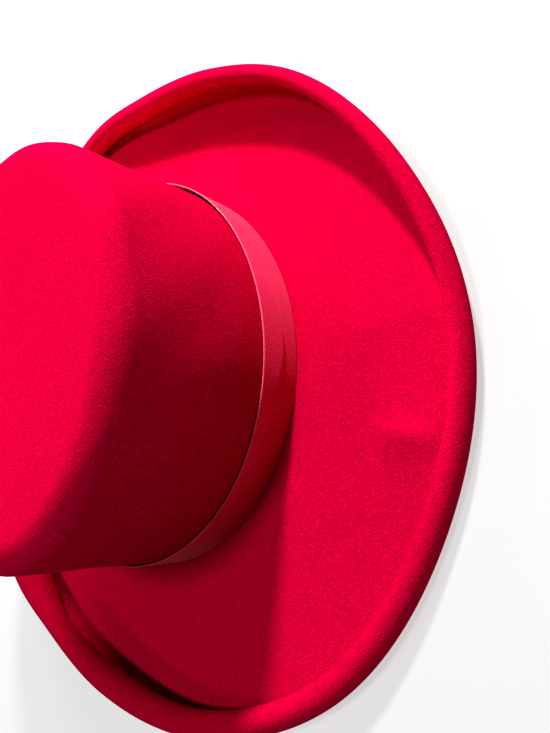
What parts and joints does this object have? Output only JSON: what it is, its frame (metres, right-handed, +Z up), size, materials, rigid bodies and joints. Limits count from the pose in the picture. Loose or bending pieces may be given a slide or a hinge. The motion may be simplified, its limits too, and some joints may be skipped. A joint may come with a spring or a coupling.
{
  "type": "felt hat",
  "caption": "Soft felt hat with a low flat-topped crown, a wide brim with its edge rolled inwards, and a narrow grosgrain ribbon band.",
  "frame": {"origin": "on the surface that the hat stands on, brim down, below the middle of its box", "axes": "+Z up out of the crown's top, -Y towards the front of the hat, +X to the right in a front view"},
  "size_m": [0.2876, 0.3452, 0.085],
  "materials": {
    "felt": "bright red wool felt, matte, with a short nap",
    "grosgrain": "red grosgrain ribbon, fine cross ribs, slight satin gloss"
  },
  "bodies": {
    "root": {"felt_body": "felt", "ribbon_band": "grosgrain"}
  },
  "joints": []
}
